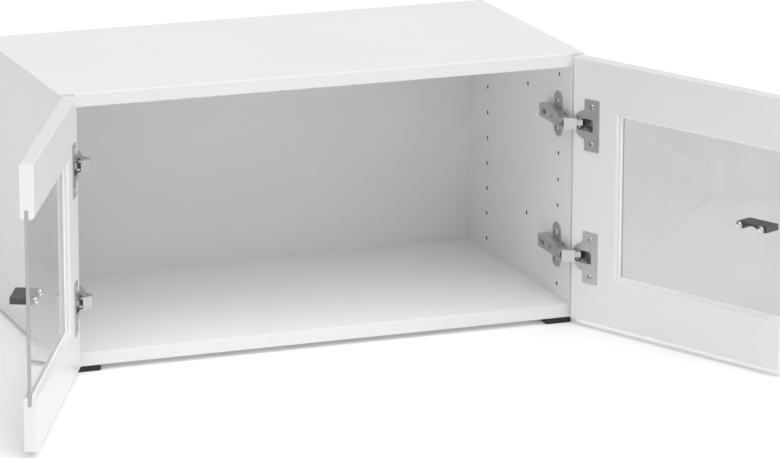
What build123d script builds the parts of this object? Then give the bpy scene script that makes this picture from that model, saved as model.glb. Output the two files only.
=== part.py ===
"""Low two-door glass-front cabinet on four glides, doors open on concealed cup hinges.

Millimetres. X runs along the width, -Y is the front, Z is up. The origin is on the floor, at the middle of
the cabinet's footprint with its doors open. The right-hand fittings and door are modelled; the left-hand
ones are their mirror images.
"""

from build123d import *
import os
from math import cos, hypot, radians, sin

os.makedirs("parts", exist_ok=True)

# ---- Driving dimensions: carcass ----------------------------------------------------------------------
carcass_width = 640.0
carcass_height = 320.0
carcass_depth = 325.0
panel_thickness = 16.0
edge_radius = 1.2              # softened front and top edges
back_thickness = 3.0
back_rebate = 8.0              # how far the back board reaches behind each panel
fit_gap = 0.25                 # play around the back board in its rebate
pin_gap = 0.05                 # radial play of dowels, bolts, screws and hinge pins in their holes

# ---- Glides -------------------------------------------------------------------------------------------
foot_height = 7.0
foot_size = 32.0
foot_inset = 12.0              # outer side face to glide
foot_setback = 1.0             # front or back face to glide
foot_screw_radius = 1.75
foot_screw_head = 3.5
foot_screw_grip = 11.0         # length in the bottom panel
foot_screw_recess = 1.0        # screw head above the sole
foot_corner = 2.0
foot_chamfer = 0.8

# ---- 32 mm system drilling ----------------------------------------------------------------------------
system_pitch = 32.0
system_hole_dia = 5.0
system_hole_depth = 11.0
front_row_setback = 37.0
middle_row_step = 3            # pitches behind the front row
rear_row_step = 7
levels = range(1, 10)          # hole levels, counted in pitches above the carcass bottom
middle_levels = (3, 8)

# ---- Corner fittings ----------------------------------------------------------------------------------
dowel_radius = 4.0
dowel_in_side = 10.0
dowel_in_panel = 22.0
cam_radius = 7.5
cam_depth = 12.5
cam_setback = 34.0             # cam centre to the joint
cam_cross_width = 1.4
cam_cross_depth = 1.5
bolt_head_gap = 0.3            # play of the bolt in the cam
bolt_radius = 3.0
bolt_thread_radius = 2.5
bolt_in_side = 11.0
cam_rows = (50.0, 275.0)       # setback from the front
dowel_rows = (82.0, 243.0)
back_screw_radius = 1.5
back_screw_head = 3.0
back_screw_length = 15.0

# ---- Doors --------------------------------------------------------------------------------------------
door_thickness = 16.0
side_reveal = 1.0              # door edge to the outer side face, closed
middle_gap = 2.0               # between the two closed doors
end_reveal = 1.5               # door ends to the top and bottom faces
door_gap = 2.0                 # closed door to the carcass front
stile_width = 70.0
rail_width = 60.0
opening_chamfer = 2.5
glass_thickness = 4.0
glass_setback = 6.5            # inner door face to glass
glass_in_groove = 10.0
groove_gap = 0.2               # play of the glass across the groove
open_angle = 115.0
overrun = 1.0                  # how far a cut runs past the face that it leaves

# ---- Hinges: positions on the carcass are (inboard, outward) of the side panel's inner front corner,
# ---- positions on the door are (from the hinge edge, into the door) -----------------------------------
hinge_levels = (2.5, 7.5)      # pitches above the carcass bottom
open_inboard = 1.0             # inner hinge-edge corner of the open door, inboard of the side panel
open_clearance = 0.838         # outer hinge-edge corner of the open door, in front of the carcass
arm_pivot_inner = (8.9, 7.0)
arm_pivot_inboard = 13.0       # the outer link's pivot on the arm
cup_pivot_outer = (8.0, 2.8)
cup_pivot_inner = (8.0, 6.5)
fork_offset = (0.572, 0.647)   # centre of the inner link's fork from its pin in the cup, door open
cup_radius = 17.5
cup_depth = 12.2
cup_wall = 0.8
cup_edge = 3.0                 # door edge to cup
mouth_half_height = 7.4
mouth_end = 32.0               # door edge to the far end of the mouth
flange_width = 23.0
flange_height = 62.0
flange_thickness = 1.0
cup_screw_pitch = 45.0
cup_screw_offset = 9.5         # beyond the cup centre
cup_screw_radius = 1.9
cup_screw_head = 3.6
cup_screw_length = 12.0
cup_screw_head_height = 1.4
cross_length = 3.2             # cross recess of the cup screws and adjusters
cross_width = 0.8
cross_depth = 0.9
flange_corner = 1.5
rim_cut_depth = 9.15           # the cup wall is cut down this far where the links cross it
rim_cut_width = 6.0
arm_pin_radius = 1.25
cup_pin_radius = 1.0
sheet = 1.2                    # hinge sheet thickness
cheek_inner = 4.2              # inner faces of the arm cheeks and cup cheeks, from the hinge middle
link_inner = 5.7               # inner faces of the outer link
link_sheet = 1.1
inner_link_half = 3.4
web_height = 8.3               # outer link's web above the line of its pivots
arm_back = 67.0                # rear end of the arm behind the carcass front
arm_height = 12.6
arm_half_width = 8.2
arm_lift = 2.0                 # lower edges of the arm's side walls, off the side panel
arm_bend = 1.0
neck_lift = 3.5                # lower edges of the neck's cheeks, off the side panel
neck_overlap = 2.0             # the neck reaches this far into the channel
neck_start = 13.0              # where the arm narrows, behind the carcass front
neck_web_end = 1.0             # the neck's web ends this far in front of the carcass
plate_wing = (22.0, 53.0)
plate_wing_chamfer = 5.0
plate_strip = (18.0, 64.0)     # start and end of the plate behind the carcass front
plate_corner = 2.0
plate_half_height = 7.0
plate_thickness = 1.6
saddle_half_height = 5.0
saddle_inset = 2.0             # the saddle is shorter than the plate by this at each end
plate_screw_head = 4.5
plate_screw_head_height = 1.8
plate_cross_length = 4.4
plate_cross_width = 1.0
plate_cross_depth = 1.0
plate_screw_end_gap = 1.0      # bottom of the hole to the screw's tip
adjuster_radius = 2.6
adjuster_rows = (29.0, 53.0)   # side and depth adjusters, behind the carcass front
adjuster_slot = 11.0
adjuster_rise = 0.8            # adjusters stand this far out of the arm

# ---- Handles ------------------------------------------------------------------------------------------
handle_length = 43.0
handle_projection = 23.0
handle_height = 7.0
handle_setback = 52.0          # door free edge to the handle's middle
handle_arch_width = 22.0
handle_arch_rise = 4.6         # height of the arch under the handle
handle_corner = 1.0
handle_screw_pitch = 32.0
handle_screw_radius = 2.0
handle_screw_head = 4.0
handle_screw_dome = 2.6
handle_screw_rim = 0.4         # straight part of the head's edge
handle_screw_end_gap = 1.0     # bottom of the hole to the screw's tip
handle_screw_grip = 7.0
glass_hole_radius = 2.6
washer_radius = 4.6
washer_thickness = 0.6

# ---- Derived places -----------------------------------------------------------------------------------
door_width = carcass_width / 2 - side_reveal - middle_gap / 2
door_height = carcass_height - 2 * end_reveal
turn = radians(open_angle)
open_corner = (open_inboard, open_clearance - door_thickness * cos(turn))
open_reach = open_corner[1] + door_width * sin(turn)
front_y = (open_reach - carcass_depth) / 2      # the open doors and the back are equally far from the origin
back_y = front_y + carcass_depth
outer_x = carcass_width / 2
inner_x = outer_x - panel_thickness
floor_z = foot_height                           # carcass bottom face
top_z = floor_z + carcass_height
mid_z = floor_z + carcass_height / 2
inner_width = carcass_width - 2 * panel_thickness
hinge_heights = [floor_z + level * system_pitch for level in hinge_levels]
cup_centre = cup_edge + cup_radius
web_top = arm_height - sheet                    # underside of the arm's web, from the side panel
closed_pivot = (side_reveal - panel_thickness + cup_pivot_outer[0], door_gap + cup_pivot_outer[1])


def on_carcass(point):
    """Row coordinates of an (inboard, outward) place at the right-hand side panel."""
    return inner_x - point[0], front_y - point[1]


def on_door(along, into):
    """(inboard, outward) place of a point of the open right-hand door."""
    return (open_corner[0] + along * cos(turn) - into * sin(turn),
            open_corner[1] + along * sin(turn) + into * cos(turn))


def equidistant(inboard, first, second):
    """Place at a given inboard distance that is equally far from two other places."""
    across, along = second[0] - first[0], second[1] - first[1]
    half = (second[0] ** 2 + second[1] ** 2 - first[0] ** 2 - first[1] ** 2) / 2
    return inboard, (half - inboard * across) / along


open_pivot = on_door(*cup_pivot_outer)
arm_pivot_outer = equidistant(arm_pivot_inboard, closed_pivot, open_pivot)
fork_pin = on_door(*cup_pivot_inner)
inner_link_end = (fork_pin[0] + fork_offset[0], fork_pin[1] + fork_offset[1])

door_x = (-cos(turn), -sin(turn), 0)            # from the hinge edge to the free edge of the open right door
door_inward = (-sin(turn), cos(turn), 0)        # out of the door's inner face
door_corner = on_carcass(open_corner)


def carcass_plan(z):
    """Horizontal plane at the right-hand side panel: x is inboard, y is outward."""
    return Plane(origin=(inner_x, front_y, z), x_dir=(-1, 0, 0), z_dir=(0, 0, 1))


def door_plan(z):
    """Horizontal plane of the open right door: x is along the door, y goes into it."""
    return Plane(origin=(*door_corner, z), x_dir=door_x, z_dir=(0, 0, 1))


def door_face(into=0.0):
    """Upright plane in the open right door: x is along the door, y is up from the carcass bottom."""
    x, y = on_carcass(on_door(0, into))
    return Plane(origin=(x, y, floor_z), x_dir=door_x, z_dir=door_inward)


def wall_face(inboard=0.0):
    """Upright plane on the right side panel's inner face: x is behind the front, y is up from the bottom."""
    return Plane(origin=(inner_x - inboard, front_y, floor_z), x_dir=(0, 1, 0), z_dir=(1, 0, 0))


def link_plan(cup_end, arm_end, z):
    """Horizontal plane of a link: origin at its cup end, x to its arm end, y outward."""
    start, end = on_carcass(cup_end), on_carcass(arm_end)
    return Plane(origin=(*start, z), x_dir=(end[0] - start[0], end[1] - start[1], 0), z_dir=(0, 0, 1))


def save(builder, name):
    """Label a finished piece and write its STEP file."""
    builder.part.label = name
    export_step(builder.part, f"parts/{name}.step")


def save_pair(builder, name):
    """Write a right-hand piece and its left-hand mirror image."""
    save(builder, f"right_{name}")
    with BuildPart() as left:
        mirror(builder.part, about=Plane.YZ)
    save(left, f"left_{name}")


# ---- Side panels --------------------------------------------------------------------------------------
hole_places = [(front_row_setback, level * system_pitch) for level in levels]
hole_places += [(front_row_setback + rear_row_step * system_pitch, level * system_pitch) for level in levels]
hole_places += [(front_row_setback + middle_row_step * system_pitch, level * system_pitch)
                for level in middle_levels]
joint_heights = (panel_thickness / 2, carcass_height - panel_thickness / 2)
back_screw_inset = back_rebate / 2
side_screw_heights = (carcass_height / 4, 3 * carcass_height / 4)
end_screw_places = (-inner_width / 3, 0, inner_width / 3)

with BuildPart() as side_panel:
    with BuildSketch(Plane.XY.offset(floor_z)):
        with Locations((outer_x - panel_thickness / 2, front_y + carcass_depth / 2)):
            Rectangle(panel_thickness, carcass_depth)
    extrude(amount=carcass_height)
    front_edges = side_panel.edges().filter_by(Axis.Z).group_by(Axis.Y)[0]
    fillet(front_edges, edge_radius)
    with BuildSketch(Plane.XY.offset(floor_z)):
        with Locations((inner_x + back_rebate / 2, back_y - back_thickness / 2)):
            Rectangle(back_rebate, back_thickness)
    extrude(amount=carcass_height, mode=Mode.SUBTRACT)
    with BuildSketch(wall_face()):
        with Locations(*hole_places):
            Circle(system_hole_dia / 2)
    extrude(amount=system_hole_depth, mode=Mode.SUBTRACT)
    with BuildSketch(wall_face()):
        with Locations(*[(row, height) for row in dowel_rows for height in joint_heights]):
            Circle(dowel_radius)
    extrude(amount=dowel_in_side + pin_gap, mode=Mode.SUBTRACT)
    with BuildSketch(wall_face()):
        with Locations(*[(row, height) for row in cam_rows for height in joint_heights]):
            Circle(bolt_thread_radius + pin_gap)
    extrude(amount=bolt_in_side + pin_gap, mode=Mode.SUBTRACT)
    with BuildSketch(Plane.XZ.offset(-(back_y - back_thickness))):
        with Locations(*[(inner_x + back_screw_inset, floor_z + height) for height in side_screw_heights]):
            Circle(back_screw_radius + pin_gap)
    extrude(amount=back_screw_length, mode=Mode.SUBTRACT)
save_pair(side_panel, "side_panel")


# ---- Top and bottom panels ----------------------------------------------------------------------------
def cross_panel(low_z, hidden_side):
    """A panel between the sides. Its cams open on the face turned away from view: +1 up, -1 down."""
    middle = low_z + panel_thickness / 2
    with BuildPart() as panel:
        with BuildSketch(Plane.XY.offset(low_z)):
            with Locations((0, front_y + carcass_depth / 2)):
                Rectangle(inner_width, carcass_depth)
        extrude(amount=panel_thickness)
        fillet(panel.edges().filter_by(Axis.X).group_by(Axis.Y)[0], edge_radius)
        rebate_z = low_z if low_z > mid_z else low_z + panel_thickness - back_rebate
        with BuildSketch(Plane.XY.offset(rebate_z)):
            with Locations((0, back_y - back_thickness / 2)):
                Rectangle(inner_width, back_thickness)
        extrude(amount=back_rebate, mode=Mode.SUBTRACT)
        for side in (-1, 1):
            joint = Plane(origin=(side * inner_width / 2, 0, middle), x_dir=(0, 1, 0), z_dir=(side, 0, 0))
            with BuildSketch(joint):
                with Locations(*[(front_y + row, 0) for row in dowel_rows]):
                    Circle(dowel_radius)
            extrude(amount=-(dowel_in_panel + pin_gap), mode=Mode.SUBTRACT)
            with BuildSketch(joint):
                with Locations(*[(front_y + row, 0) for row in cam_rows]):
                    Circle(bolt_radius + pin_gap)
            extrude(amount=-cam_setback, mode=Mode.SUBTRACT)
        face_z = low_z if hidden_side < 0 else low_z + panel_thickness
        cam_x = inner_width / 2 - cam_setback
        with BuildSketch(Plane.XY.offset(face_z)):
            with Locations(*[(side * cam_x, front_y + row) for side in (-1, 1) for row in cam_rows]):
                Circle(cam_radius)
        extrude(amount=-hidden_side * cam_depth, mode=Mode.SUBTRACT)
        with BuildSketch(Plane.XZ.offset(-(back_y - back_thickness))):
            with Locations(*[(x, rebate_z + back_screw_inset) for x in end_screw_places]):
                Circle(back_screw_radius + pin_gap)
        extrude(amount=back_screw_length, mode=Mode.SUBTRACT)
        if low_z < mid_z:
            with BuildSketch(Plane.XY.offset(low_z)):
                with Locations(*foot_places):
                    Circle(foot_screw_radius + pin_gap)
            extrude(amount=foot_screw_grip + pin_gap, mode=Mode.SUBTRACT)
    return panel


foot_x = outer_x - foot_inset - foot_size / 2
foot_front = front_y + foot_setback + foot_size / 2
foot_back = back_y - foot_setback - foot_size / 2
foot_places = [(side * foot_x, y) for side in (-1, 1) for y in (foot_front, foot_back)]

save(cross_panel(floor_z, -1), "bottom_panel")
save(cross_panel(top_z - panel_thickness, -1), "top_panel")

# ---- Back board and its screws ------------------------------------------------------------------------
board_width = inner_width + 2 * (back_rebate - fit_gap)
board_height = carcass_height - 2 * (panel_thickness - back_rebate + fit_gap)
back_screw_places = [(side * (inner_x + back_screw_inset), floor_z + height)
                     for side in (-1, 1) for height in side_screw_heights]
back_screw_places += [(x, z) for x in end_screw_places
                      for z in (floor_z + panel_thickness - back_screw_inset,
                                top_z - panel_thickness + back_screw_inset)]

with BuildPart() as back_board:
    with BuildSketch(Plane.XZ.offset(-back_y)):
        with Locations((0, mid_z)):
            Rectangle(board_width, board_height)
        with Locations(*back_screw_places):
            Circle(back_screw_radius + pin_gap, mode=Mode.SUBTRACT)
    extrude(amount=back_thickness)
save(back_board, "back_panel")

with BuildPart() as back_screws:
    with BuildSketch(Plane.XZ.offset(-back_y)):
        with Locations(*back_screw_places):
            Circle(back_screw_radius)
    extrude(amount=back_screw_length)
    with BuildSketch(Plane.XZ.offset(-back_y)):
        with Locations(*back_screw_places):
            Circle(back_screw_head)
    extrude(amount=-back_screw_radius / 2, taper=20)
save(back_screws, "back_panel_screws")

# ---- Dowels, cam bolts and cams in the four corner joints -----------------------------------------------
joint_levels = [floor_z + height for height in joint_heights]

with BuildPart() as dowels:
    for side in (-1, 1):
        for z in joint_levels:
            end = Plane(origin=(side * (inner_x + dowel_in_side), 0, z), x_dir=(0, 1, 0), z_dir=(-side, 0, 0))
            with BuildSketch(end):
                with Locations(*[(front_y + row, 0) for row in dowel_rows]):
                    Circle(dowel_radius - pin_gap)
            extrude(amount=dowel_in_side + dowel_in_panel)
save(dowels, "carcass_dowels")

with BuildPart() as cam_bolts:
    for side in (-1, 1):
        for z in joint_levels:
            joint = Plane(origin=(side * inner_x, 0, z), x_dir=(0, 1, 0), z_dir=(side, 0, 0))
            with BuildSketch(joint):
                with Locations(*[(front_y + row, 0) for row in cam_rows]):
                    Circle(bolt_thread_radius)
            extrude(amount=bolt_in_side)
            with BuildSketch(joint):
                with Locations(*[(front_y + row, 0) for row in cam_rows]):
                    Circle(bolt_radius)
            extrude(amount=-(cam_setback - cam_radius / 2))
save(cam_bolts, "cam_bolts")

with BuildPart() as cams:
    for low_z in (floor_z, top_z - panel_thickness):
        cam_x = inner_width / 2 - cam_setback
        for side in (-1, 1):
            with BuildSketch(Plane.XY.offset(low_z)):
                with Locations(*[(side * cam_x, front_y + row) for row in cam_rows]):
                    Circle(cam_radius - pin_gap)
            extrude(amount=cam_depth - pin_gap)
            slot_start = side * (cam_x + cam_radius / 2 - bolt_head_gap)
            slot_length = cam_radius
            with BuildSketch(Plane.XY.offset(low_z + panel_thickness / 2 - bolt_radius - bolt_head_gap)):
                with Locations(*[(slot_start + side * slot_length / 2, front_y + row) for row in cam_rows]):
                    Rectangle(slot_length, 2 * (bolt_radius + bolt_head_gap))
            extrude(amount=2 * (bolt_radius + bolt_head_gap), mode=Mode.SUBTRACT)
            with BuildSketch(Plane.XY.offset(low_z)):
                with Locations(*[(side * cam_x, front_y + row) for row in cam_rows]):
                    Rectangle(cam_radius, cam_cross_width)
                    Rectangle(cam_cross_width, cam_radius)
            extrude(amount=cam_cross_depth, mode=Mode.SUBTRACT)
save(cams, "cam_locks")

# ---- Glides and their screws ----------------------------------------------------------------------------
glide_names = {"left_front": foot_places[0], "left_rear": foot_places[1],
               "right_front": foot_places[2], "right_rear": foot_places[3]}
head_height = foot_screw_head - foot_screw_radius
foot_sink_radius = foot_screw_head + foot_screw_recess - 2 * pin_gap
for name, place in glide_names.items():
    with BuildPart() as glide:
        with BuildSketch():
            with Locations(place):
                Rectangle(foot_size, foot_size)
        extrude(amount=foot_height)
        fillet(glide.edges().filter_by(Axis.Z), foot_corner)
        chamfer(glide.faces().sort_by(Axis.Z)[0].edges(), foot_chamfer)
        with Locations((*place, 0)):
            CounterSinkHole(foot_screw_radius + pin_gap, foot_sink_radius, foot_height, 90)
    save(glide, f"{name}_glide")

with BuildPart() as glide_screws:
    for place in foot_places:
        with Locations((*place, foot_screw_recess)):
            Cone(foot_screw_head, foot_screw_radius, head_height, align=(Align.CENTER, Align.CENTER, Align.MIN))
            Cylinder(foot_screw_radius, foot_height - foot_screw_recess + foot_screw_grip,
                     align=(Align.CENTER, Align.CENTER, Align.MIN))
save(glide_screws, "glide_screws")

# ---- Hinge parts fixed to the carcass -------------------------------------------------------------------
level_names = list(zip(("lower", "upper"), hinge_heights))
screw_steps = (-system_pitch / 2, system_pitch / 2)
strip_length = plate_strip[1] - plate_strip[0]

for level, z in level_names:
    hinge_z = z - floor_z
    with BuildPart() as plate:
        with BuildSketch(wall_face()):
            with Locations((front_row_setback, hinge_z)):
                Rectangle(plate_wing[0] - 2 * plate_wing_chamfer, plate_wing[1])
                Rectangle(plate_wing[0], plate_wing[1] - 2 * plate_wing_chamfer)
            make_hull()
            with Locations((sum(plate_strip) / 2, hinge_z)):
                RectangleRounded(strip_length, 2 * plate_half_height, plate_corner)
            with Locations(*[(front_row_setback, hinge_z + step) for step in screw_steps]):
                Circle(system_hole_dia / 2, mode=Mode.SUBTRACT)
        extrude(amount=-plate_thickness)
        with BuildSketch(wall_face(plate_thickness)):
            with Locations((sum(plate_strip) / 2, hinge_z)):
                RectangleRounded(strip_length - 2 * saddle_inset, 2 * saddle_half_height, plate_corner)
        extrude(amount=-(web_top - plate_thickness))
    save_pair(plate, f"{level}_mounting_plate")

plate_screw_places = [(front_row_setback, z - floor_z + step) for z in hinge_heights for step in screw_steps]
with BuildPart() as plate_screws:
    with BuildSketch(wall_face(plate_thickness)):
        with Locations(*plate_screw_places):
            Circle(system_hole_dia / 2 - pin_gap)
    extrude(amount=plate_thickness + system_hole_depth - plate_screw_end_gap)
    with BuildSketch(wall_face(plate_thickness)):
        with Locations(*plate_screw_places):
            Circle(plate_screw_head)
    extrude(amount=-plate_screw_head_height, taper=25)
    with BuildSketch(wall_face(plate_thickness + plate_screw_head_height)):
        with Locations(*plate_screw_places):
            Rectangle(plate_cross_length, plate_cross_width)
            Rectangle(plate_cross_width, plate_cross_length)
    extrude(amount=plate_cross_depth, mode=Mode.SUBTRACT)
save_pair(plate_screws, "plate_screws")

neck_inner, neck_outer = cheek_inner, cheek_inner + sheet
pivot_eye = 2.8

for level, z in level_names:
    with BuildPart() as arm:
        # rear channel: web and two side walls
        with BuildSketch(carcass_plan(z - arm_half_width)):
            with Locations(((arm_height + arm_lift) / 2, -(arm_back + neck_start) / 2)):
                Rectangle(arm_height - arm_lift, arm_back - neck_start)
        extrude(amount=2 * arm_half_width)
        fillet(arm.edges().filter_by(Axis.Y).group_by(Axis.X)[0], arm_bend)
        with BuildSketch(carcass_plan(z - arm_half_width + sheet)):
            with Locations((web_top / 2, -(arm_back + neck_start) / 2)):
                Rectangle(web_top, arm_back - neck_start + 2 * overrun)
        extrude(amount=2 * (arm_half_width - sheet), mode=Mode.SUBTRACT)
        # neck: web and two cheeks with the pivot eyes
        with BuildSketch(carcass_plan(z - neck_outer)):
            with Locations((web_top + sheet / 2, (neck_web_end - neck_start - neck_overlap) / 2)):
                Rectangle(sheet, neck_web_end + neck_start + neck_overlap)
        extrude(amount=2 * neck_outer)
        for low in (z - neck_outer, z + neck_inner):
            with BuildSketch(carcass_plan(low)):
                with Locations(((arm_height + neck_lift) / 2, -neck_start - neck_overlap / 2)):
                    Rectangle(arm_height - neck_lift, neck_overlap)
                with Locations(arm_pivot_outer, arm_pivot_inner):
                    Circle(pivot_eye)
                make_hull()
            extrude(amount=sheet)
        for low in (z - arm_half_width, z + neck_inner):
            with BuildSketch(carcass_plan(low)):
                with Locations(((arm_height + neck_lift) / 2, -neck_start)):
                    Rectangle(arm_height - neck_lift, sheet)
            extrude(amount=arm_half_width - neck_inner)
        with BuildSketch(carcass_plan(z - neck_outer)):
            with Locations(arm_pivot_outer, arm_pivot_inner):
                Circle(arm_pin_radius + pin_gap)
        extrude(amount=2 * neck_outer, mode=Mode.SUBTRACT)
        # adjuster holes and the slot of the depth adjuster, in the web
        with BuildSketch(wall_face(arm_height + overrun)):
            with Locations((adjuster_rows[0], z - floor_z)):
                Circle(adjuster_radius + 2 * pin_gap)
            with Locations((adjuster_rows[1], z - floor_z)):
                SlotOverall(adjuster_slot, 2 * adjuster_radius + 4 * pin_gap)
        extrude(amount=sheet + 2 * overrun, mode=Mode.SUBTRACT)
    save_pair(arm, f"{level}_hinge_arm")

with BuildPart() as arm_pins:
    for z in hinge_heights:
        with BuildSketch(carcass_plan(z - neck_outer)):
            with Locations(arm_pivot_inner):
                Circle(arm_pin_radius)
        extrude(amount=2 * neck_outer)
        for low in (z - link_inner - link_sheet, z + neck_inner):
            with BuildSketch(carcass_plan(low)):
                with Locations(arm_pivot_outer):
                    Circle(arm_pin_radius)
            extrude(amount=link_inner + link_sheet - neck_inner)
save_pair(arm_pins, "arm_pins")

adjuster_places = [(row, z - floor_z) for z in hinge_heights for row in adjuster_rows]
with BuildPart() as adjusters:
    with BuildSketch(wall_face(web_top)):
        with Locations(*adjuster_places):
            Circle(adjuster_radius)
    extrude(amount=-(sheet + adjuster_rise))
    with BuildSketch(wall_face(arm_height + adjuster_rise)):
        with Locations(*adjuster_places):
            Rectangle(cross_length, cross_width)
            Rectangle(cross_width, cross_length)
    extrude(amount=cross_depth, mode=Mode.SUBTRACT)
save_pair(adjusters, "hinge_adjusters")

# ---- Links ----------------------------------------------------------------------------------------------
outer_length = hypot(arm_pivot_outer[0] - open_pivot[0], arm_pivot_outer[1] - open_pivot[1])
inner_length = hypot(arm_pivot_inner[0] - inner_link_end[0], arm_pivot_inner[1] - inner_link_end[1])
web_bend = 2.3                  # outer bend radius of the outer link's web
shoulder_y = web_height - web_bend
cup_eye = 1.9
shoulder_inset = 3.0            # bend centres of the web, from the link's pivots
bend_x = outer_length - shoulder_inset
link_shoulders = ((shoulder_inset, shoulder_y), (bend_x, shoulder_y))

for level, z in level_names:
    with BuildPart() as outer_link:
        for low in (z - link_inner - link_sheet, z + link_inner):
            plan = link_plan(open_pivot, arm_pivot_outer, low)
            rounds = [((0, 0), cup_eye), (link_shoulders[0], web_bend), (link_shoulders[1], web_bend),
                      ((outer_length, 0), pivot_eye)]
            for (start, start_radius), (end, end_radius) in zip(rounds, rounds[1:]):
                with BuildSketch(plan):
                    with Locations(start):
                        Circle(start_radius)
                    with Locations(end):
                        Circle(end_radius)
                    make_hull()
                extrude(amount=link_sheet)
            with BuildSketch(plan):
                Circle(cup_pin_radius + pin_gap)
                with Locations((outer_length, 0)):
                    Circle(arm_pin_radius + pin_gap)
            extrude(amount=link_sheet, mode=Mode.SUBTRACT)
        with BuildSketch(link_plan(open_pivot, arm_pivot_outer, z - link_inner)):
            with Locations((outer_length / 2, web_height - link_sheet / 2)):
                Rectangle(bend_x - shoulder_inset, link_sheet)
            with BuildLine():
                CenterArc(link_shoulders[1], web_bend, 0, 90)
                Line((bend_x, web_height), (bend_x, web_height - link_sheet))
                CenterArc(link_shoulders[1], web_bend - link_sheet, 0, 90)
                Line((bend_x + web_bend - link_sheet, shoulder_y), (bend_x + web_bend, shoulder_y))
            make_face()
        extrude(amount=2 * link_inner)
    save_pair(outer_link, f"{level}_outer_link")

fork_gap = 2.0                  # half the width of the fork's open slot
prong = 1.0
fork_tip = -1.2                 # tips of the prongs, from the fork centre towards the free end
fork_root = 2.8                 # bottom of the slot
fork_slope = 0.4                # the slot's bottom slants by this each side of its middle
neck_middle = (7.4, 2.6)
neck_radius = 1.1

inner_link_eye = 2.6

for level, z in level_names:
    with BuildPart() as inner_link:
        plan = link_plan(inner_link_end, arm_pivot_inner, z - inner_link_half)
        outside = fork_gap + prong
        with BuildSketch(plan):
            with BuildLine():
                Polyline((fork_tip, outside), (fork_root + prong, outside), (fork_root + prong, fork_tip),
                         (fork_root - fork_slope, -outside), (fork_tip, -outside), close=True)
            make_face()
        extrude(amount=2 * inner_link_half)
        for start, start_radius, end, end_radius in (
                ((fork_root, outside - neck_radius), neck_radius, neck_middle, neck_radius),
                (neck_middle, neck_radius, (inner_length, 0), inner_link_eye)):
            with BuildSketch(plan):
                with Locations(start):
                    Circle(start_radius)
                with Locations(end):
                    Circle(end_radius)
                make_hull()
            extrude(amount=2 * inner_link_half)
        with BuildSketch(plan):
            with BuildLine():
                Polyline((fork_tip - overrun, fork_gap), (fork_root - fork_slope, fork_gap), (fork_root, 0),
                         (fork_root - 2 * fork_slope, -fork_gap), (fork_tip - overrun, -fork_gap), close=True)
            make_face()
            with Locations((inner_length, 0)):
                Circle(arm_pin_radius + pin_gap)
        extrude(amount=2 * inner_link_half, mode=Mode.SUBTRACT)
    save_pair(inner_link, f"{level}_inner_link")

# ---- Doors ----------------------------------------------------------------------------------------------
door_z = end_reveal
glass_far = glass_setback + glass_thickness
glass_left = stile_width - glass_in_groove
groove_start = glass_setback - groove_gap / 2
groove_width = glass_thickness + groove_gap
opening_height = door_height - 2 * rail_width
cup_heights = [z - floor_z for z in hinge_heights]
flange_middle = cup_centre + cup_screw_offset
cup_screw_steps = (-cup_screw_pitch / 2, cup_screw_pitch / 2)
cup_screw_places = [(flange_middle, height + step) for height in cup_heights for step in cup_screw_steps]

with BuildPart() as door_frame:
    with BuildSketch(door_face()):
        with Locations((door_width / 2, door_z + door_height / 2)):
            Rectangle(door_width, door_height)
    extrude(amount=-door_thickness)
    fillet(door_frame.edges().filter_by(lambda edge: edge.length > door_height / 2), edge_radius)
    with BuildSketch(door_face()):
        with Locations(((stile_width + door_width) / 2 + overrun, door_z + door_height / 2)):
            Rectangle(door_width - stile_width + 2 * overrun, opening_height)
    extrude(amount=-door_thickness, mode=Mode.SUBTRACT)
    for face, sign in ((door_face(), -1), (door_face(door_thickness), 1)):
        with BuildSketch(face):
            with Locations(((stile_width + door_width) / 2, door_z + door_height / 2)):
                Rectangle(door_width - stile_width + 2 * opening_chamfer,
                          opening_height + 2 * opening_chamfer)
        extrude(amount=sign * opening_chamfer, taper=45, mode=Mode.SUBTRACT)
    with BuildSketch(door_face(groove_start)):
        with Locations(((glass_left + door_width) / 2 + overrun, door_z + door_height / 2)):
            Rectangle(door_width - glass_left + 2 * overrun, opening_height + 2 * glass_in_groove)
    extrude(amount=-groove_width, mode=Mode.SUBTRACT)
    with BuildSketch(door_face()):
        with Locations(*[(cup_centre, height) for height in cup_heights]):
            Circle(cup_radius)
    extrude(amount=-cup_depth, mode=Mode.SUBTRACT)
    with BuildSketch(door_face()):
        with Locations(*cup_screw_places):
            Circle(cup_screw_radius + pin_gap)
    extrude(amount=-cup_screw_length - pin_gap, mode=Mode.SUBTRACT)
save_pair(door_frame, "door_frame")

handle_middle = door_width - handle_setback
handle_screw_places = [(handle_middle + step, door_z + door_height / 2)
                       for step in (-handle_screw_pitch / 2, handle_screw_pitch / 2)]
with BuildPart() as glass:
    with BuildSketch(door_face(glass_setback)):
        with Locations(((glass_left + door_width) / 2, door_z + door_height / 2)):
            Rectangle(door_width - glass_left, opening_height + 2 * glass_in_groove)
        with Locations(*handle_screw_places):
            Circle(glass_hole_radius, mode=Mode.SUBTRACT)
    extrude(amount=-glass_thickness)
save_pair(glass, "door_glass")

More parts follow.
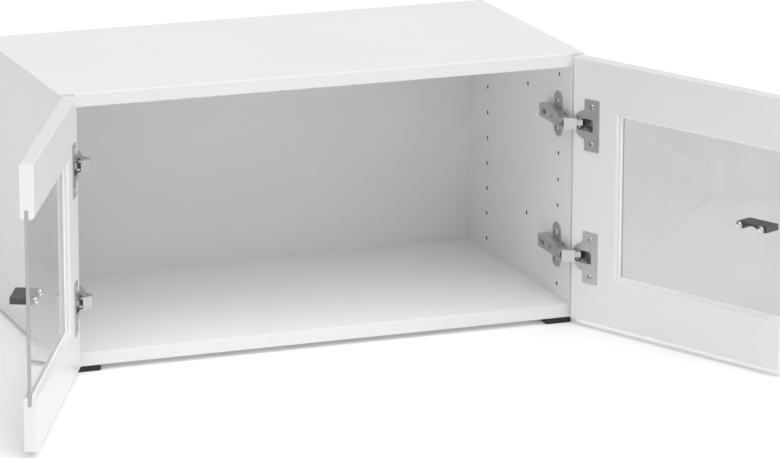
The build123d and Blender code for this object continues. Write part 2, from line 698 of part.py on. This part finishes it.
# ---- Hinge cups -----------------------------------------------------------------------------------------
cheek_low = 5.3                 # cup cheeks, from the door edge
cheek_high = 10.2
cheek_top = 0.8                 # upper edge of the cheeks, below the door face
cheek_bevel = (1.6, 1.4)
cup_floor = cup_depth - cup_wall
mouth_start = cup_edge - 2 * overrun
for (level, z), height in zip(level_names, cup_heights):
    with BuildPart() as cup:
        with BuildSketch(door_face()):
            with Locations((cup_centre, height)):
                Circle(cup_radius - pin_gap)
        extrude(amount=-(cup_depth - pin_gap))
        with BuildSketch(door_face()):
            with Locations((cup_centre, height)):
                Circle(cup_radius - pin_gap - cup_wall)
        extrude(amount=-(cup_depth - pin_gap - cup_wall), mode=Mode.SUBTRACT)
        with BuildSketch(door_face(-flange_thickness)):
            with Locations((cup_centre, height)):
                Circle(cup_radius)
            with Locations((flange_middle, height)):
                RectangleRounded(flange_width, flange_height, flange_corner)
            with Locations(((mouth_start + mouth_end) / 2, height)):
                Rectangle(mouth_end - mouth_start, 2 * mouth_half_height, mode=Mode.SUBTRACT)
            with Locations(*[(flange_middle, height + step) for step in cup_screw_steps]):
                Circle(cup_screw_radius + pin_gap, mode=Mode.SUBTRACT)
        extrude(amount=-flange_thickness)
        # the wall is cut down where the links cross the rim
        with BuildSketch(door_face()):
            with Locations((mouth_start + rim_cut_width / 2, height)):
                Rectangle(rim_cut_width, 2 * mouth_half_height)
        extrude(amount=-rim_cut_depth, mode=Mode.SUBTRACT)
        for low in (z - neck_outer, z + neck_inner):
            with BuildSketch(door_plan(low)):
                with BuildLine():
                    Polyline((cheek_low, cup_floor), (cheek_low, cheek_top + cheek_bevel[1]),
                             (cheek_low + cheek_bevel[0], cheek_top), (cheek_high - cheek_bevel[0], cheek_top),
                             (cheek_high, cheek_top + cheek_bevel[1]), (cheek_high, cup_floor), close=True)
                make_face()
                with Locations(cup_pivot_outer, cup_pivot_inner):
                    Circle(cup_pin_radius + pin_gap / 2, mode=Mode.SUBTRACT)
            extrude(amount=sheet)
    save_pair(cup, f"{level}_hinge_cup")

with BuildPart() as cup_pins:
    for z in hinge_heights:
        with BuildSketch(door_plan(z - neck_outer)):
            with Locations(cup_pivot_inner):
                Circle(cup_pin_radius)
        extrude(amount=2 * neck_outer)
        for low in (z - link_inner - link_sheet, z + neck_inner):
            with BuildSketch(door_plan(low)):
                with Locations(cup_pivot_outer):
                    Circle(cup_pin_radius)
            extrude(amount=link_inner + link_sheet - neck_inner)
save_pair(cup_pins, "cup_pins")

with BuildPart() as cup_screws:
    with BuildSketch(door_face(-flange_thickness)):
        with Locations(*cup_screw_places):
            Circle(cup_screw_radius)
    extrude(amount=-(flange_thickness + cup_screw_length))
    with BuildSketch(door_face(-flange_thickness)):
        with Locations(*cup_screw_places):
            Circle(cup_screw_head)
    extrude(amount=cup_screw_head_height, taper=30)
    with BuildSketch(door_face(-flange_thickness - cup_screw_head_height)):
        with Locations(*cup_screw_places):
            Rectangle(cross_length, cross_width)
            Rectangle(cross_width, cross_length)
    extrude(amount=-cross_depth, mode=Mode.SUBTRACT)
save_pair(cup_screws, "cup_screws")

# ---- Handles --------------------------------------------------------------------------------------------
handle_low = door_z + (door_height - handle_height) / 2      # underside, above the carcass bottom
handle_arch_radius = (handle_arch_width ** 2 / 4 + handle_arch_rise ** 2) / (2 * handle_arch_rise)
with BuildPart() as handle:
    with BuildSketch(door_plan(floor_z + handle_low)):
        with Locations((handle_middle, glass_far + handle_projection / 2)):
            Rectangle(handle_length, handle_projection)
    extrude(amount=handle_height)
    far = Plane(origin=door_face(glass_far).origin, z_dir=(-door_inward[0], -door_inward[1], 0))
    corners = [edge for edge in handle.edges().filter_by(Axis.Z)
               if far.to_local_coords(edge.center()).Z > handle_projection / 2]
    fillet(corners, handle_corner)
    with BuildSketch(door_face(glass_far - overrun)):
        with Locations((handle_middle, handle_low + handle_arch_rise - handle_arch_radius)):
            Circle(handle_arch_radius)
    extrude(amount=-(handle_projection + 2 * overrun), mode=Mode.SUBTRACT)
    with BuildSketch(door_face(glass_far)):
        with Locations(*handle_screw_places):
            Circle(handle_screw_radius + pin_gap)
    extrude(amount=-(handle_screw_grip + handle_screw_end_gap), mode=Mode.SUBTRACT)
save_pair(handle, "handle")

with BuildPart() as washers:
    with BuildSketch(door_face(glass_setback)):
        with Locations(*handle_screw_places):
            Circle(washer_radius)
            Circle(handle_screw_radius + pin_gap, mode=Mode.SUBTRACT)
    extrude(amount=washer_thickness)
save_pair(washers, "handle_washers")

with BuildPart() as handle_screws:
    head_face = glass_setback - washer_thickness
    with BuildSketch(door_face(head_face)):
        with Locations(*handle_screw_places):
            Circle(handle_screw_radius)
    extrude(amount=-(washer_thickness + glass_thickness + handle_screw_grip))
    with BuildSketch(door_face(head_face)):
        with Locations(*handle_screw_places):
            Circle(handle_screw_head)
    extrude(amount=handle_screw_dome)
    circles = handle_screws.edges().filter_by(GeomType.CIRCLE)
    top = handle_screw_dome / 2
    rims = [edge for edge in circles if door_face(head_face).to_local_coords(edge.center()).Z > top]
    fillet(rims, handle_screw_dome - handle_screw_rim)
save_pair(handle_screws, "handle_screws")
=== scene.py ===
"""Studio scene of a low white two-door cabinet with glass-fronted doors, standing open.

Every length is in metres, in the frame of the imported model: the floor is z = 0, the front is -Y.
"""

import math

import bmesh
import bpy
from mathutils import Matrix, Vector


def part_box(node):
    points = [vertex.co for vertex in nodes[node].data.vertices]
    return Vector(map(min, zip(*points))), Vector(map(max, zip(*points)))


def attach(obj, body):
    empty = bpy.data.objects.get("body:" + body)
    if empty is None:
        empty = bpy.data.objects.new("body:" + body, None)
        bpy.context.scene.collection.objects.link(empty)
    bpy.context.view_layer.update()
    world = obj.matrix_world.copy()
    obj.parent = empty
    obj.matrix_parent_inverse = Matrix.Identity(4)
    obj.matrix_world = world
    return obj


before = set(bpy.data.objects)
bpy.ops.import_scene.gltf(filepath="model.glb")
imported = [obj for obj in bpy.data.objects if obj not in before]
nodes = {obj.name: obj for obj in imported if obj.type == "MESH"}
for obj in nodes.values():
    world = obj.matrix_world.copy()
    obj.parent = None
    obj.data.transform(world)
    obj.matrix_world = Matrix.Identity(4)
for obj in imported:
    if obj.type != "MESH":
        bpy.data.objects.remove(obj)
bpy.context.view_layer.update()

MM = 0.001
SIDES = ("right", "left")
LEVELS = ("upper", "lower")
OPEN_ANGLE = math.radians(115.0)  # how far the doors stand open at rest
PANE = 4.0 * MM  # glass thickness
GROOVE = 10.0 * MM  # how far the glass goes into its frame
OPENING = 248.0 * MM  # from the stile to the free edge
front_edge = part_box("top_panel")[0].y  # plane of the carcass's front edges
inner_wall = -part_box("left_side_panel")[1].x  # side panels' inner faces, from the middle


# ---------------------------------------------------------------- shader tools


def srgb(code):
    """Linear colour of an sRGB hex value."""
    parts = [int(code[i : i + 2], 16) / 255 for i in (1, 3, 5)]
    return [*(p / 12.92 if p <= 0.04045 else ((p + 0.055) / 1.055) ** 2.4 for p in parts), 1.0]


def add(tree, kind, settings=None, links=None):
    """Adds one shader node, with its properties or socket values and the outputs that feed it."""
    made = tree.nodes.new("ShaderNode" + kind)
    for name, value in (settings or {}).items():
        if isinstance(name, str) and hasattr(made, name):
            setattr(made, name, value)
        else:
            made.inputs[name].default_value = value
    for name, source in (links or {}).items():
        tree.links.new(source, made.inputs[name])
    return made


def finish(name, surface, tones, drift, gloss, grain, depth, run=(1.0, 1.0, 1.0)):
    """A whole finish: its material, its tree, its shader, its tone and the place in metres.

    Two close tones drift over the surface in patches of a given size. A finer grain, stretched
    along its run, varies the roughness between two values and stands out by a given depth.
    Drift, grain and depth are in millimetres.
    """
    material = bpy.data.materials.new(name)
    material.use_nodes = True
    tree = material.node_tree
    tree.nodes.clear()
    shader = add(tree, "BsdfPrincipled", surface)
    add(tree, "OutputMaterial", links={"Surface": shader.outputs["BSDF"]})
    place = add(tree, "TexCoord").outputs["Object"]
    patch_noise = {"Scale": 1.0 / (drift * MM), "Detail": 3.0}
    patches = add(tree, "TexNoise", patch_noise, {"Vector": place})
    middle = {"From Min": 0.3, "From Max": 0.7}
    spread = add(tree, "MapRange", middle, {"Value": patches.outputs[0]})
    colours = {"Color1": srgb(tones[0]), "Color2": srgb(tones[1])}
    tone = add(tree, "MixRGB", colours, {"Fac": spread.outputs["Result"]}).outputs["Color"]
    tree.links.new(tone, shader.inputs["Base Color"])
    along = add(tree, "Mapping", {"Scale": run}, {"Vector": place})
    grain_noise = {"Scale": 1.0 / (grain * MM), "Detail": 3.0}
    grit = add(tree, "TexNoise", grain_noise, {"Vector": along.outputs["Vector"]}).outputs[0]
    gloss_range = {**middle, "To Min": gloss[0], "To Max": gloss[1]}
    sheen = add(tree, "MapRange", gloss_range, {"Value": grit})
    tree.links.new(sheen.outputs["Result"], shader.inputs["Roughness"])
    if depth:
        bump = add(tree, "Bump", {"Strength": 0.6, "Distance": depth * MM}, {"Height": grit})
        tree.links.new(bump.outputs["Normal"], shader.inputs["Normal"])
    return material, tree, shader, tone, place


# ------------------------------------------------------------------- materials

NONMETAL = {"IOR": 1.5}  # melamine, lacquer, plastic and wood all reflect about the same
METAL = {"Metallic": 1.0}


def melamine_board():
    """White melamine-faced chipboard: a matt printed skin with a pearl grain about 1 mm across.

    The front edges carry an edging band, a little greyer than the skin. The walls of the drilled
    holes show the chips of the board, coloured darker than bare chipboard as painted shade, so the
    holes read as small dark dots.
    """
    material, tree, shader, skin, place = finish(
        "melamine_faced_board",
        NONMETAL,
        tones=("#F1F1F1", "#F4F4F4"),
        drift=180.0,
        gloss=(0.40, 0.52),
        grain=1.3,
        depth=0.012,
    )
    axes = add(tree, "SeparateXYZ", links={"Vector": place}).outputs
    off_middle = add(tree, "Math", {"operation": "ABSOLUTE"}, {0: axes["X"]}).outputs[0]
    band_middle, band_half = front_edge + 0.5 * MM, 0.7 * MM
    banding = {"operation": "COMPARE", 1: band_middle, 2: band_half}
    band = add(tree, "Math", banding, {0: axes["Y"]}).outputs[0]
    edged = {"Color2": srgb("#E9E9E9")}
    faced = add(tree, "MixRGB", edged, {"Fac": band, "Color1": skin}).outputs["Color"]
    chip = 2.2 * MM
    chips = add(tree, "TexNoise", {"Scale": 1.0 / chip, "Detail": 3.0}, {"Vector": place})
    # chip colours of the board, darker than bare chipboard: partly the real chips, partly painted
    # shade inside the drilled holes
    chip_and_shade_tones = {"Color1": srgb("#57524B"), "Color2": srgb("#857A6B")}
    core_and_hole_shade = add(tree, "MixRGB", chip_and_shade_tones, {"Fac": chips.outputs[0]}).outputs["Color"]
    # where holes are drilled, inside the skins and away from the edges: axis, middle, half-width
    drilled_field = (
        (off_middle, inner_wall + 6.1 * MM, 5.8 * MM),
        (axes["Y"], front_edge + 160.0 * MM, 140.0 * MM),
        (axes["Z"], 167.0 * MM, 133.0 * MM),
    )
    inside = [
        add(tree, "Math", {"operation": "COMPARE", 1: middle, 2: half}, {0: source}).outputs[0]
        for source, middle, half in drilled_field
    ]
    drilled = inside[0]
    for other in inside[1:]:
        drilled = add(tree, "Math", {"operation": "MULTIPLY"}, {0: drilled, 1: other}).outputs[0]
    # the walls of the drilled holes take the chip colours with their painted shade
    parts = {"Fac": drilled, "Color1": faced, "Color2": core_and_hole_shade}
    whole = add(tree, "MixRGB", links=parts).outputs["Color"]
    tree.links.new(whole, shader.inputs["Base Color"])
    return material


def float_glass():
    """Grey float glass: sharp reflections, and a trace of wiping left in its gloss.

    Its tint shows where the pane faces the eye, and fades into the reflection at a low angle.
    """
    material, tree, shader, tint, _ = finish(
        "grey_float_glass",
        {"IOR": 1.45, "Transmission Weight": 1.0},
        tones=("#C4C4C4", "#C8C8C8"),
        drift=45.0,
        gloss=(0.0, 0.02),
        grain=45.0,
        depth=0.0,
    )
    facing = add(tree, "LayerWeight", {"Blend": 0.5}).outputs["Facing"]
    low_angle = {"From Min": 0.35, "From Max": 0.8}
    fade = add(tree, "MapRange", low_angle, {"Value": facing}).outputs["Result"]
    clear = {"Color2": srgb("#FFFFFF")}
    colour = add(tree, "MixRGB", clear, {"Fac": fade, "Color1": tint}).outputs["Color"]
    tree.links.new(colour, shader.inputs["Base Color"])
    return material


BOARD = melamine_board()
GLASS = float_glass()
# Routed MDF in satin polyurethane lacquer: smoother than the board, with a faint orange peel.
LACQUER = finish(
    "satin_lacquered_mdf",
    NONMETAL,
    tones=("#EEEEEE", "#F0F0F0"),
    drift=120.0,
    gloss=(0.30, 0.38),
    grain=2.6,
    depth=0.01,
)[0]
# Thin hardboard with a roller-printed white face: flat, with a fine fibre across the cabinet.
HARDBOARD = finish(
    "roller_lacquered_hardboard",
    NONMETAL,
    tones=("#EEEEEE", "#F1F1F1"),
    drift=240.0,
    gloss=(0.50, 0.62),
    grain=0.9,
    depth=0.015,
    run=(0.25, 1.0, 1.0),
)[0]
# Seamed edge of a cut pane: upright marks of a fine diamond wheel, pale grey and hardly clear.
GROUND = finish(
    "ground_glass_edge",
    {"IOR": 1.5, "Transmission Weight": 0.15},
    tones=("#BCBDBD", "#C8C9C9"),
    drift=6.0,
    gloss=(0.35, 0.55),
    grain=0.8,
    depth=0.02,
    run=(1.0, 1.0, 0.2),
)[0]
# White silicone that beds the glass: rubbery, drawn smooth along its run.
SEALANT = finish(
    "white_silicone",
    {"IOR": 1.41},
    tones=("#F4F4F4", "#FAFAFA"),
    drift=20.0,
    gloss=(0.42, 0.55),
    grain=1.5,
    depth=0.02,
)[0]
# Bright nickel plate on pressed steel: a neutral grey mirror, dulled a little by the press.
NICKEL = finish(
    "nickel_plated_steel",
    METAL,
    tones=("#C3C3C3", "#C9C9C9"),
    drift=9.0,
    gloss=(0.28, 0.38),
    grain=0.5,
    depth=0.004,
)[0]
# Nickel plate on a zinc casting: the same colour, softer, because the cast skin is rougher.
CAST_NICKEL = finish(
    "nickel_plated_zinc_casting",
    METAL,
    tones=("#B9B9B9", "#C1C1C1"),
    drift=9.0,
    gloss=(0.36, 0.48),
    grain=0.8,
    depth=0.006,
)[0]
# Bright zinc plate on steel screws: cooler and a little patchy.
ZINC = finish(
    "zinc_plated_steel",
    METAL,
    tones=("#A6A8AA", "#BABCBD"),
    drift=4.0,
    gloss=(0.26, 0.38),
    grain=0.4,
    depth=0.004,
)[0]
# Chrome plate on the handle's screws: a clear mirror.
CHROME = finish(
    "chrome_plated_steel",
    METAL,
    tones=("#CBCCCD", "#D6D7D8"),
    drift=4.0,
    gloss=(0.05, 0.11),
    grain=0.3,
    depth=0.001,
)[0]
# Dark grey satin paint on the zinc handle: nearly black on its sides, pale only where it shines.
HANDLE_PAINT = finish(
    "satin_painted_zinc_casting",
    {"IOR": 1.6, "Coat Weight": 0.3, "Coat Roughness": 0.25},
    tones=("#343537", "#3C3D3F"),
    drift=8.0,
    gloss=(0.30, 0.42),
    grain=0.6,
    depth=0.01,
)[0]
# Black polypropylene glides: an even spark-eroded grain about 0.5 mm across, softly shining.
BLACK_PLASTIC = finish(
    "black_polypropylene",
    NONMETAL,
    tones=("#141516", "#1D1E20"),
    drift=12.0,
    gloss=(0.38, 0.55),
    grain=0.5,
    depth=0.03,
)[0]
# Clear soft washers under the handle's screws, cloudy because they are thin polyethylene.
WASHER = finish(
    "clouded_polyethylene",
    NONMETAL,
    tones=("#C9CCCC", "#DADDDD"),
    drift=5.0,
    gloss=(0.25, 0.40),
    grain=0.6,
    depth=0.01,
)[0]
# Turned beech: short darker flecks about 2 mm long in a pale pinkish wood.
BEECH = finish(
    "beech_wood",
    NONMETAL,
    tones=("#B98E62", "#D8B48A"),
    drift=2.0,
    gloss=(0.55, 0.70),
    grain=0.6,
    depth=0.05,
    run=(0.3, 1.0, 1.0),
)[0]

finishes = {
    "left_side_panel": BOARD,
    "right_side_panel": BOARD,
    "top_panel": BOARD,
    "bottom_panel": BOARD,
    "back_panel": HARDBOARD,
    "back_panel_screws": ZINC,
    "carcass_dowels": BEECH,
    "cam_bolts": ZINC,
    "cam_locks": CAST_NICKEL,
    "glide_screws": ZINC,
}
for side in SIDES:
    for row in ("front", "rear"):
        finishes[f"{side}_{row}_glide"] = BLACK_PLASTIC
    for level in LEVELS:
        finishes[f"{side}_{level}_mounting_plate"] = CAST_NICKEL
        finishes[f"{side}_{level}_hinge_arm"] = NICKEL
        finishes[f"{side}_{level}_outer_link"] = NICKEL
        finishes[f"{side}_{level}_inner_link"] = NICKEL
        finishes[f"{side}_{level}_hinge_cup"] = NICKEL
    finishes[f"{side}_plate_screws"] = ZINC
    finishes[f"{side}_arm_pins"] = ZINC
    finishes[f"{side}_hinge_adjusters"] = ZINC
    finishes[f"{side}_cup_pins"] = ZINC
    finishes[f"{side}_cup_screws"] = CAST_NICKEL
    finishes[f"{side}_door_frame"] = LACQUER
    finishes[f"{side}_door_glass"] = GLASS
    finishes[f"{side}_handle"] = HANDLE_PAINT
    finishes[f"{side}_handle_washers"] = WASHER
    finishes[f"{side}_handle_screws"] = CHROME

for name, piece in nodes.items():
    piece.data.materials.clear()
    piece.data.materials.append(finishes[name])


# ------------------------------------------- ground edge and bedding of the glass


def free_corner(side):
    """Free edge's corner on the pane's inner face, with the ways along the door and into it."""
    low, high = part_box(f"{side}_door_glass")
    out = 1.0 if side == "right" else -1.0
    turn, lean = math.sin(OPEN_ANGLE), math.cos(OPEN_ANGLE)
    into = Vector((out * turn, -lean, 0.0))  # from the inner face of the pane to its outer face
    along = Vector((-out * lean, -turn, 0.0))  # from the hinges to the free edge
    far_x = high.x if side == "right" else low.x
    return Vector((far_x - out * PANE * turn, low.y, 0.0)), along, into


def door_band(name, rings, material, side):
    """A closed band through rings of points, capped at both ends, that rides on one door."""
    shape = bmesh.new()
    made = [[shape.verts.new(point) for point in ring] for ring in rings]
    for lower, upper in zip(made, made[1:]):
        for i, corner in enumerate(lower):
            j = (i + 1) % len(lower)
            shape.faces.new((corner, lower[j], upper[j], upper[i]))
    shape.faces.new(made[0])
    shape.faces.new(made[-1])
    bmesh.ops.recalc_face_normals(shape, faces=shape.faces)
    mesh = bpy.data.meshes.new(name)
    shape.to_mesh(mesh)
    shape.free()
    mesh.materials.append(material)
    piece = bpy.data.objects.new(name, mesh)
    bpy.context.collection.objects.link(piece)
    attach(piece, f"{side}_door")


def ground_edge(side):
    """The seamed free edge of a pane: a thin face with both long corners taken off."""
    corner, along, into = free_corner(side)
    low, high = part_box(f"{side}_door_glass")
    margin, seam, proud = 0.05 * MM, 0.35 * MM, 0.2 * MM
    profile = [
        corner + into * margin - along * margin,
        corner + into * (margin + seam) + along * proud,
        corner + into * (PANE - margin - seam) + along * proud,
        corner + into * (PANE - margin) - along * margin,
    ]
    ends = (low.z + margin, high.z - margin)
    rings = [[Vector((p.x, p.y, z)) for p in profile] for z in ends]
    door_band(f"{side}_glass_ground_edge", rings, GROUND, side)


def glass_bedding(side):
    """The hollow line of sealant between the frame and each face of the pane, on three sides."""
    corner, along, into = free_corner(side)
    low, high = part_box(f"{side}_door_glass")
    up = Vector((0.0, 0.0, 1.0))
    bottom, top = low.z + GROOVE, high.z - GROOVE
    touch = 0.02 * MM  # clear of the frame and of the glass
    end_gap = 1.5 * MM  # short of the free edge
    hollow = 0.35  # share of each leg at which the bead's hollow face is deepest
    route = (  # distance from the free edge, height, and the way from the frame into the opening
        (end_gap, bottom, 0.0, 1.0),
        (OPENING, bottom, -1.0, 1.0),
        (OPENING, top, -1.0, -1.0),
        (end_gap, top, 0.0, -1.0),
    )
    beads = (  # width on the glass, width on the frame, where it starts and which way it stands
        ("inner", 2.8 * MM, 1.8 * MM, 0.0, -1.0),
        ("outer", 0.6 * MM, 0.6 * MM, PANE, 1.0),
    )
    for face, wide, deep, start, away in beads:
        # distances off the frame and off the glass
        profile = ((touch, touch), (wide, touch), (wide * hollow, deep * hollow), (touch, deep))
        rings = [
            [
                corner
                - along * (back + off_frame * turn_back)
                + up * (height + off_frame * turn_up)
                + into * (start + away * off_glass)
                for off_frame, off_glass in profile
            ]
            for back, height, turn_back, turn_up in route
        ]
        door_band(f"{side}_glass_bedding_{face}", rings, SEALANT, side)


for side in SIDES:
    ground_edge(side)
    glass_bedding(side)


# ------------------------------------------------------------ floor and lights

STUDIO = 16.0  # side of the square of floor


def studio_floor():
    """A pale painted studio floor, slightly mottled at arm's length."""
    mesh = bpy.data.meshes.new("studio_floor")
    shape = bmesh.new()
    bmesh.ops.create_grid(shape, x_segments=24, y_segments=24, size=STUDIO / 2)
    shape.to_mesh(mesh)
    shape.free()
    floor = bpy.data.objects.new("studio_floor", mesh)
    bpy.context.collection.objects.link(floor)
    glow = {"Emission Color": srgb("#FFFFFF"), "Emission Strength": 0.10}
    paint = finish(
        "matt_studio_paint",
        glow,
        tones=("#F8F8F8", "#FAFAFA"),
        drift=400.0,
        gloss=(0.85, 0.95),
        grain=3.0,
        depth=0.0,
    )[0]
    mesh.materials.append(paint)


def studio_light():
    """An even pale room, one broad soft light above the front, and a small fill from the left."""
    world = bpy.data.worlds.new("studio_room")
    world.use_nodes = True
    bpy.context.scene.world = world
    back = world.node_tree.nodes["Background"]
    back.inputs["Color"].default_value = srgb("#FFFFFF")
    back.inputs["Strength"].default_value = 0.25
    softbox = bpy.data.lights.new("overhead_softbox", "SUN")
    softbox.energy = 2.68
    softbox.angle = math.radians(80.0)
    panel = bpy.data.lights.new("front_fill", "AREA")
    panel.shape, panel.size, panel.energy = "SQUARE", 0.5, 4.0
    fill_place = Vector((-0.8, -2.2, 1.2))
    fill_target = Vector((0.1, 0.1, 0.1))  # low inside the cabinet
    towards_softbox = Vector((0.15, -0.38, 1.0))
    for lamp, place, backwards in (
        (softbox, Vector(), towards_softbox),
        (panel, fill_place, fill_place - fill_target),
    ):
        light = bpy.data.objects.new(lamp.name, lamp)
        light.location = place
        light.rotation_euler = backwards.to_track_quat("Z", "Y").to_euler()
        bpy.context.collection.objects.link(light)


def studio_camera():
    """A long lens above and to the left of the cabinet's middle, turned right and tipped down."""
    lens = bpy.data.cameras.new("camera")
    lens.sensor_width = 36.0
    lens.lens = 201.93
    lens.shift_x = 0.064
    lens.clip_start, lens.clip_end = 0.1, 100.0
    tipped_down, turned_right = 0.2579, 0.3513
    camera = bpy.data.objects.new("camera", lens)
    camera.location = (-1.67214, -4.61766, 1.43440)
    camera.rotation_euler = (math.pi / 2 - tipped_down, 0.0, -turned_right)
    bpy.context.collection.objects.link(camera)
    bpy.context.scene.camera = camera


studio_floor()
studio_light()
studio_camera()
bpy.context.scene.view_settings.view_transform = "Standard"
